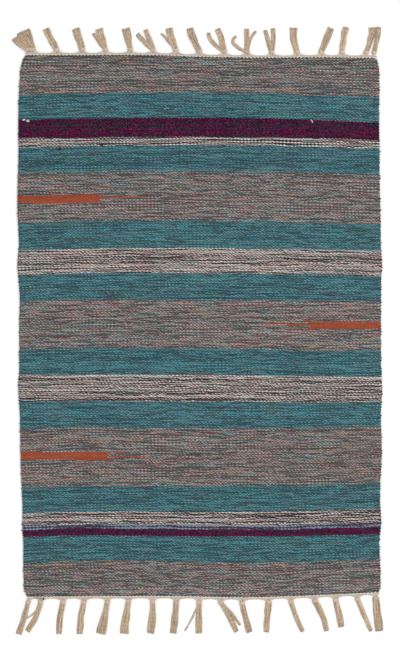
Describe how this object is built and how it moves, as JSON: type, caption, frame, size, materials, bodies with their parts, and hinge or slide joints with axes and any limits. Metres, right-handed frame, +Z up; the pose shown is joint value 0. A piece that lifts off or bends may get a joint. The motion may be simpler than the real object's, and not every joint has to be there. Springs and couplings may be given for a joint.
{
  "type": "kilim rug",
  "caption": "Small flat-woven kilim rug with heathered stripes, slim inlaid bars, twined cream headings and a knotted warp fringe at each end.",
  "frame": {"origin": "on the floor, under the middle of the whole rug with its fringes", "axes": "+X across the rug along the weft, +Y along the rug along the warp, +Z up from the floor"},
  "size_m": [0.6154, 1.0118, 0.0057],
  "materials": {
    "woven_cotton": "heathered flat weave in teal, taupe, plum and cream",
    "heading_cotton": "twined cream cotton cord",
    "fringe_cotton": "unbleached cotton warp ends"
  },
  "bodies": {
    "root": {"woven_field": "woven_cotton", "heading_far": "heading_cotton", "heading_near": "heading_cotton", "fringe_far": "fringe_cotton", "fringe_near": "fringe_cotton"}
  },
  "joints": []
}
